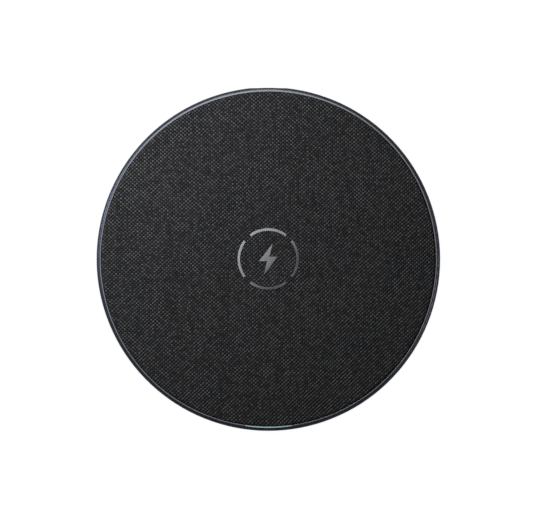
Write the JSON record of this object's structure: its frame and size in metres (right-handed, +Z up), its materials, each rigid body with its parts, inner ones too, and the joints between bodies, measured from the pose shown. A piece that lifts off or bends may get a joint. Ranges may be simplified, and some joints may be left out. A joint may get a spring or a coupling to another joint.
{
  "type": "wireless charging pad",
  "caption": "Round flat wireless charging pad with a woven cloth top, metal bezel, USB-C inlet at the back edge and a status light at the front edge.",
  "frame": {"origin": "middle of the pad on the plane it rests on", "axes": "+Z up through the cloth, +Y towards the USB-C inlet, the status light at -Y"},
  "size_m": [0.1, 0.0997, 0.008],
  "materials": {
    "cloth": "matte plain weave",
    "print": "heat transfer print",
    "glue": "adhesive film",
    "plate_plastic": "moulded",
    "bezel": "dark anodised with a bright cut land",
    "light_guide": "diffusing",
    "foam": "closed cell foam",
    "litz": "served Litz wire",
    "ferrite": "sintered",
    "sensor": "coated bead",
    "board": "solder mask",
    "socket_steel": "plated",
    "socket_plastic": "moulded",
    "contacts": "gold plated",
    "chip": "moulded package",
    "inductor": "pressed powder",
    "ceramic_part": "fired ceramic",
    "resistor": "coated",
    "crystal_can": "plated",
    "led": "cast",
    "ribbon": "polyimide film",
    "thermal_pad": "soft",
    "case_plastic": "fine texture",
    "screw_steel": "zinc plated",
    "silicone": "matte"
  },
  "bodies": {
    "root": {"fabric_cover": "cloth", "printed_mark": "print", "fabric_glue_film": "glue", "top_plate": "plate_plastic", "bezel_ring": "bezel", "light_guide": "light_guide", "coil_foam_tape": "foam", "transmitter_coil": "litz", "coil_glue_film": "glue", "ferrite_shield": "ferrite", "support_foam": "foam", "temperature_sensor": "sensor", "main_board": "board", "socket_shell": "socket_steel", "socket_tongue": "socket_plastic", "socket_contacts": "contacts", "controller_chip": "chip", "power_chip": "chip", "switching_transistors": "chip", "power_inductor": "inductor", "resonance_capacitors": "ceramic_part", "filter_capacitors": "ceramic_part", "chip_resistors": "resistor", "clock_crystal": "crystal_can", "indicator_board": "board", "indicator_leds": "led", "indicator_ribbon": "ribbon", "thermal_pad": "thermal_pad", "bottom_cover": "case_plastic", "case_screws": "screw_steel", "foot_glue_ring": "glue", "foot_ring": "silicone"}
  },
  "joints": []
}
